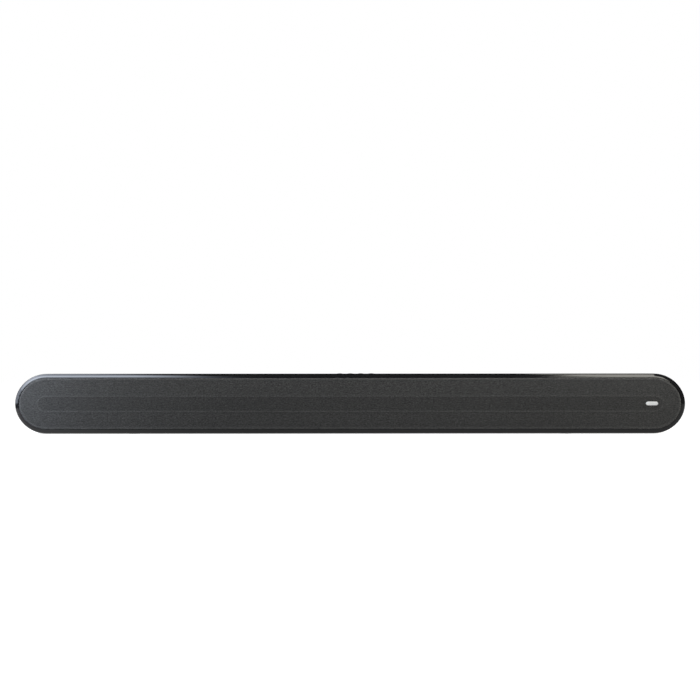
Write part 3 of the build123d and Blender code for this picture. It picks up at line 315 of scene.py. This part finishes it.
def build_materials():
    """The finish of every slot in the record."""
    bare_steel = (0.55, 0.55, 0.56)
    return {
        "gloss_housing": gloss_black("gloss_housing"),
        "cover_plastic": moulded("cover_plastic", (0.018, 0.018, 0.019), rough=0.55, grain=1500.0),
        "grille_fabric": grille_fabric("grille_fabric"),
        "frame_plastic": moulded("frame_plastic", (0.012, 0.012, 0.012), rough=0.6),
        "badge_metal": brushed("badge_metal", (0.86, 0.86, 0.85), rough=0.38),
        "foot_rubber": moulded("foot_rubber", (0.016, 0.016, 0.016), rough=0.8, grain=1200.0),
        "button_plastic": gloss_black("button_plastic", tone=0.009),
        "switch_plastic": moulded("switch_plastic", (0.03, 0.03, 0.03)),
        "plunger_plastic": moulded("plunger_plastic", (0.35, 0.04, 0.03)),
        "circuit_board": circuit("circuit_board", (0.01, 0.085, 0.035), (0.03, 0.2, 0.08)),
        "chip_plastic": moulded("chip_plastic", (0.02, 0.02, 0.022), rough=0.5),
        "heat_sink_aluminium": brushed("heat_sink_aluminium", (0.62, 0.62, 0.64), along=(40.0, 40.0, 1.0)),
        "capacitor_sleeve": moulded("capacitor_sleeve", (0.02, 0.03, 0.09), rough=0.3),
        "indicator_lens": moulded("indicator_lens", (0.7, 0.7, 0.62), rough=0.2, depth=0.005 * MM),
        "receiver_lens": moulded("receiver_lens", (0.03, 0.006, 0.01), rough=0.15, depth=0.005 * MM),
        "black_screw": brushed("black_screw", (0.05, 0.05, 0.052), rough=0.4),
        "bright_screw": brushed("bright_screw", bare_steel),
        "socket_plastic": moulded("socket_plastic", (0.014, 0.014, 0.014), rough=0.42),
        "socket_metal": brushed("socket_metal", (0.62, 0.61, 0.58), rough=0.28),
        "cable_jacket": moulded("cable_jacket", (0.02, 0.02, 0.02), rough=0.5),
        "basket_steel": moulded("basket_steel", (0.02, 0.02, 0.021), rough=0.4),
        "gasket_foam": fibrous("gasket_foam", (0.025, 0.025, 0.025)),
        "surround_rubber": moulded("surround_rubber", (0.012, 0.012, 0.012), rough=0.5),
        "cone_paper": fibrous("cone_paper", (0.045, 0.045, 0.043)),
        "coil_copper": brushed("coil_copper", (0.72, 0.36, 0.18), along=(40.0, 40.0, 40.0)),
        "spider_cloth": fibrous("spider_cloth", (0.45, 0.32, 0.12)),
        "pole_steel": brushed("pole_steel", bare_steel),
        "ferrite": fibrous("ferrite", (0.03, 0.03, 0.032), rough=0.6),
    }


MATERIALS = build_materials()


def finish_cad_nodes():
    """Gives each CAD node the finish of its slot in the record."""
    for row in frame["record"]["subparts"]:
        materials = NODES[row["node"]].data.materials
        finish = MATERIALS[row["material_slot"]]
        if len(materials):
            for i in range(len(materials)):
                materials[i] = finish
        else:
            materials.append(finish)


# ---- Grille cloth --------------------------------------------------------------------------

CLOTH_INSET = CLOTH_LOW[0] - HOUSING_LOW[0]
CLOTH_THICK = 0.4 * MM
RIB_EDGE = CLOTH_INSET + 2.3 * MM          # inner edge of the frame's rib along the cloth's border
LOOP_CENTRE = 26.6 * MM                    # the long loop's rib, as an inset from the outline
LOOP_HALF = 1.2 * MM
CORE_INSET = LOOP_CENTRE + 4.5 * MM        # inside this the cloth is flat
BORDER_SAG = 0.22 * MM
LOOP_SAG = 0.12 * MM
SAG_SLOPE = 1.3 * MM
EDGE_ROUND = 1.0 * MM
RING_PITCH = 0.45 * MM                     # between the rings of points on the cloth's front


def cloth_sag(inset):
    """How far the stretched cloth lies behind the ribs that it bears on."""
    spans = (
        (RIB_EDGE, LOOP_CENTRE - LOOP_HALF, BORDER_SAG),
        (LOOP_CENTRE + LOOP_HALF, HALF_HEIGHT, LOOP_SAG),
    )
    for start, end, sag in spans:
        if start < inset < end:
            fall = min(1.0, (inset - start) / SAG_SLOPE)
            if end < HALF_HEIGHT:
                fall = min(fall, (end - inset) / SAG_SLOPE)
            return sag * fall * fall * (3 - 2 * fall)
    return 0.0


def painted_rib_light_level(inset):
    """Painted light on the cloth, keyed to how firmly a rib backs it: most along its border, where light
    catches the turned edge, some over the loop, and least inside it, which is painted as shade from the
    hollow frame behind.
    """
    border = max(0.0, 1.0 - max(0.0, inset - CLOTH_INSET - 0.8 * MM) / (3.0 * MM))
    loop = 0.72 * max(0.0, 1.0 - abs(inset - LOOP_CENTRE) / (1.6 * MM))
    between = 0.3 if inset < LOOP_CENTRE else 0.02
    return max(border, loop, between)


def build_cloth():
    """The grille cloth, stretched over the frame's ribs and turned over its edge."""
    corner = [
        (CLOTH_INSET + EDGE_ROUND * (1 - cos(a)), FRONT_Y + EDGE_ROUND * (1 - sin(a)))
        for a in (radians(18 * i) for i in range(5))
    ]
    insets = [CLOTH_INSET + EDGE_ROUND]
    while insets[-1] < CORE_INSET:
        insets.append(insets[-1] + RING_PITCH)
    front = [(inset, FRONT_Y + cloth_sag(inset)) for inset in insets]
    inner = [(inset, y + CLOTH_THICK) for inset, y in reversed(front)]
    turned_back = [(CLOTH_INSET + CLOTH_THICK, y) for y in (FRONT_Y + EDGE_ROUND, CLOTH_HIGH[1])]
    section = [(CLOTH_INSET, CLOTH_HIGH[1]), *corner, *front, *inner, *turned_back]
    points, faces, count = ring_sweep(section)
    last = len(section) - 1
    for j in range(count):
        k = (j + 1) % count
        faces.append((last * count + j, last * count + k, k, j))
    innermost = len(corner) + len(front)
    faces = [face for face in faces if not spans_core(face, innermost, count)]
    faces += core_faces(innermost, count, front=True)
    faces += core_faces(innermost + 1, count, front=False)
    cloth = mesh_object("stretched_grille_cloth", points, faces)
    # the painted light level of each point, which the cloth's material reads
    painted_rib_light = cloth.data.attributes.new("painted_rib_light", "FLOAT", "POINT")
    painted_rib_light.data.foreach_set("value", [painted_rib_light_level(inset) for inset, y in section for j in range(count)])
    cloth.data.materials.append(MATERIALS["grille_fabric"])
    return cloth


def spans_core(face, row, count):
    """Whether a face joins the front's innermost ring to the inner side's."""
    rows = {index // count for index in face}
    return rows == {row, row + 1}


def core_faces(row, count, front):
    """Closes the long narrow middle of a ring: each point above the axis joins the one below it."""
    half = count // 2
    faces = []
    for start, end in ((0, half), (half, count)):
        for j in range(half // 2):
            corners = (start + j, start + j + 1, end - j - 1, (end - j) % count)
            if corners[1] < corners[2]:
                faces.append(tuple(row * count + corner for corner in corners))
    return faces if front else [tuple(reversed(face)) for face in faces]


# ---- Stage, lights and camera ---------------------------------------------------------------

CAMERA_DISTANCE = 3.0
CAMERA_X = -0.1 * MM
CAMERA_Z = 76.0 * MM
CAMERA_LENS = 129.4
CAMERA_DROP = 64.0 * MM         # how far the bar's middle lies below the middle of the frame
CAMERA_ROLL = radians(0.04)


def build_camera():
    """A long-lens camera level with the bar's top, in front of its middle."""
    camera = bpy.data.cameras.new("camera")
    camera.lens = CAMERA_LENS
    camera.sensor_width = 36.0
    camera.clip_end = 60.0
    obj = link(bpy.data.objects.new("camera", camera))
    obj.location = (CAMERA_X, FRONT_Y - CAMERA_DISTANCE, CAMERA_Z)
    tilt = (AXIS_Z + CAMERA_DROP - CAMERA_Z) / CAMERA_DISTANCE
    obj.rotation_euler = (pi / 2 + tilt, CAMERA_ROLL, 0)
    bpy.context.scene.camera = obj


def area_light(name, location, target, size, power, colour):
    """A soft light for the matt surfaces; the gloss mirrors the softboxes alone."""
    light = bpy.data.lights.new(name, "AREA")
    light.shape = "RECTANGLE"
    light.size, light.size_y = size
    light.energy = power
    light.color = colour
    obj = link(bpy.data.objects.new(name, light))
    obj.location = location
    obj.rotation_euler = (Vector(target) - Vector(location)).to_track_quat("-Z", "Y").to_euler()
    obj.visible_camera = False
    obj.visible_glossy = False


def softbox(name, corners, radiance, colour, hot=None, spread=0.6, glow=0.0, fade=None):
    """A flat panel of light that only gloss mirrors: corners in order round it, an optional brighter
    spot at hot, and an edge that fades from full at X = fade[0] to nothing at X = fade[1]."""
    panel = mesh_object(name, corners, [(0, 1, 2, 3)], smooth=False)
    material = bpy.data.materials.new(name)
    material.use_nodes = True
    tree = material.node_tree
    tree.nodes.clear()
    coordinates = tree.nodes.new("ShaderNodeTexCoord").outputs["Object"]

    def ranged(value, start, end, first, last):
        node = tree.nodes.new("ShaderNodeMapRange")
        node.interpolation_type = "SMOOTHSTEP"
        limits = {"From Min": start, "From Max": end, "To Min": first, "To Max": last}
        for socket, number in limits.items():
            node.inputs[socket].default_value = number
        tree.links.new(value, node.inputs["Value"])
        return node.outputs["Result"]

    distance = tree.nodes.new("ShaderNodeVectorMath")
    distance.operation = "DISTANCE"
    distance.inputs[1].default_value = hot or corners[0]
    tree.links.new(coordinates, distance.inputs[0])
    level = ranged(distance.outputs["Value"], 0.0, spread, radiance + glow, radiance)
    if fade:
        split = tree.nodes.new("ShaderNodeSeparateXYZ")
        tree.links.new(coordinates, split.inputs["Vector"])
        product = tree.nodes.new("ShaderNodeMath")
        product.operation = "MULTIPLY"
        tree.links.new(level, product.inputs[0])
        shares = (1, 0) if fade[0] < fade[1] else (0, 1)
        faded = ranged(split.outputs["X"], min(fade), max(fade), *shares)
        tree.links.new(faded, product.inputs[1])
        level = product.outputs["Value"]
    emission = tree.nodes.new("ShaderNodeEmission")
    emission.inputs["Color"].default_value = (*colour, 1.0)
    tree.links.new(level, emission.inputs["Strength"])
    out = tree.nodes.new("ShaderNodeOutputMaterial")
    tree.links.new(emission.outputs["Emission"], out.inputs["Surface"])
    panel.data.materials.append(material)
    panel.visible_camera = False
    panel.visible_diffuse = False
    panel.visible_shadow = False
    panel.visible_transmission = False


COOL = (0.80, 0.87, 1.0)
WARM = (1.0, 0.98, 0.90)
AMBER = (1.0, 0.95, 0.84)
WHITE = (1.0, 1.0, 1.0)
CEILING = 0.9                   # height of the overhead softboxes
FAR_LEFT = -2.0
FAR_FRONT = -2.6


def ceiling_panel(left, right, front, back):
    """Corners of a level rectangle at the ceiling's height."""
    corners = ((left, front), (right, front), (right, back), (left, back))
    return [(x, y, CEILING) for x, y in corners]


def build_softboxes():
    """A wide cool softbox over, before and beside the left half, a narrower warm one over the right."""
    middle, front, back = -0.1, -1.1, 0.9
    left = {"hot": (-0.95, front, CEILING), "spread": 1.42, "glow": 11.5}
    softbox(
        "left_overhead",
        ceiling_panel(FAR_LEFT, -0.2, front, middle),
        4.2,
        COOL,
        fade=(-0.355, -0.215),
        **left,
    )
    softbox(
        "left_back",
        ceiling_panel(FAR_LEFT, -0.25, middle, back),
        1.8,
        COOL,
        hot=(-1.1, 0.1, CEILING),
        spread=1.1,
        glow=6.0,
        fade=(-0.43, -0.275),
    )
    softbox(
        "left_front",
        [
            (FAR_LEFT, FAR_FRONT, 0.2),
            (-0.18, FAR_FRONT, 0.5),
            (-0.18, front, CEILING),
            (FAR_LEFT, front, CEILING),
        ],
        4.2,
        COOL,
        fade=(-0.41, -0.195),
        **left,
    )
    softbox(
        "left_side",
        [
            (FAR_LEFT, FAR_FRONT, 0.04),
            (FAR_LEFT, back, 0.04),
            (FAR_LEFT, back, CEILING),
            (FAR_LEFT, FAR_FRONT, CEILING),
        ],
        3.8,
        COOL,
        **left,
    )
    softbox(
        "right_back",
        ceiling_panel(0.275, 0.49, middle, back),
        1.7,
        WARM,
        fade=(0.305, 0.27),
    )
    softbox(
        "right_overhead",
        [(0.30, front, CEILING), (0.60, front, CEILING), (0.49, middle, CEILING), (0.30, middle, CEILING)],
        6.0,
        WARM,
        fade=(0.36, 0.315),
    )
    softbox(
        "right_front",
        [(0.38, FAR_FRONT, 0.55), (1.0, FAR_FRONT, 0.45), (0.8, front, CEILING), (0.38, front, CEILING)],
        5.8,
        WARM,
        fade=(0.465, 0.405),
    )


def build_lights():
    build_softboxes()
    area_light("front_strip", (0.02, -0.13, 0.13), (0.02, -0.05, 0.04), (0.86, 0.03), 0.40, WHITE)
    area_light("left_near", (-0.45, -0.16, 0.10), (-0.385, -0.05, 0.04), (0.05, 0.05), 0.43, COOL)
    area_light("right_far", (0.85, -0.26, 0.22), (0.37, -0.05, 0.04), (0.2, 0.2), 2.4, AMBER)


WORLD_TO_CAMERA = 1.0
WORLD_TO_MATT = 0.38
WORLD_TO_GLOSS = 0.035
FLOOR_GLOW = 0.75


def build_world():
    """White to the camera, soft to matt surfaces, and dark to gloss, which stays black between softboxes."""
    world = bpy.data.worlds.new("studio")
    world.use_nodes = True
    bpy.context.scene.world = world
    tree = world.node_tree
    tree.nodes.clear()
    path = tree.nodes.new("ShaderNodeLightPath")

    def background(strength):
        node = tree.nodes.new("ShaderNodeBackground")
        node.inputs["Color"].default_value = (1, 1, 1, 1)
        node.inputs["Strength"].default_value = strength
        return node.outputs["Background"]

    def switch(ray, off, on):
        mix = tree.nodes.new("ShaderNodeMixShader")
        tree.links.new(path.outputs[ray], mix.inputs["Fac"])
        tree.links.new(off, mix.inputs[1])
        tree.links.new(on, mix.inputs[2])
        return mix.outputs["Shader"]

    unseen = switch("Is Glossy Ray", background(WORLD_TO_MATT), background(WORLD_TO_GLOSS))
    out = tree.nodes.new("ShaderNodeOutputWorld")
    tree.links.new(switch("Is Camera Ray", unseen, background(WORLD_TO_CAMERA)), out.inputs["Surface"])


def build_floor():
    """A plain white floor, and the patch of it near the bar that gloss mirrors."""
    half = 12.0
    corners = [(-half, -half, 0), (half, -half, 0), (half, half, 0), (-half, half, 0)]
    floor = mesh_object("floor", corners, [(0, 1, 2, 3)])
    s = Shader("floor_white", Roughness=0.9)
    s.colour(s.ramp(s.noise(3.0), [(0.3, (0.88, 0.88, 0.88)), (0.7, (0.90, 0.90, 0.90))]))
    s.shader.inputs["Emission Color"].default_value = (1, 1, 1, 1)
    s.shader.inputs["Emission Strength"].default_value = FLOOR_GLOW
    floor.data.materials.append(s.material)
    floor.visible_glossy = False
    floor.visible_diffuse = False
    softbox(
        "floor_mirrored",
        [(-0.6, -1.4, 0), (1.4, -1.4, 0), (1.4, 0.6, 0), (-0.6, 0.6, 0)],
        0.48,
        WHITE,
        hot=(-0.6, -0.1, 0.0),
        spread=0.5,
        glow=0.7,
    )


bpy.context.scene.view_settings.view_transform = "Standard"
build_camera()
build_lights()
build_world()
build_floor()
finish_cad_nodes()

cloth = build_cloth()
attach(cloth, "enclosure")
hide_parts("grille_cloth")
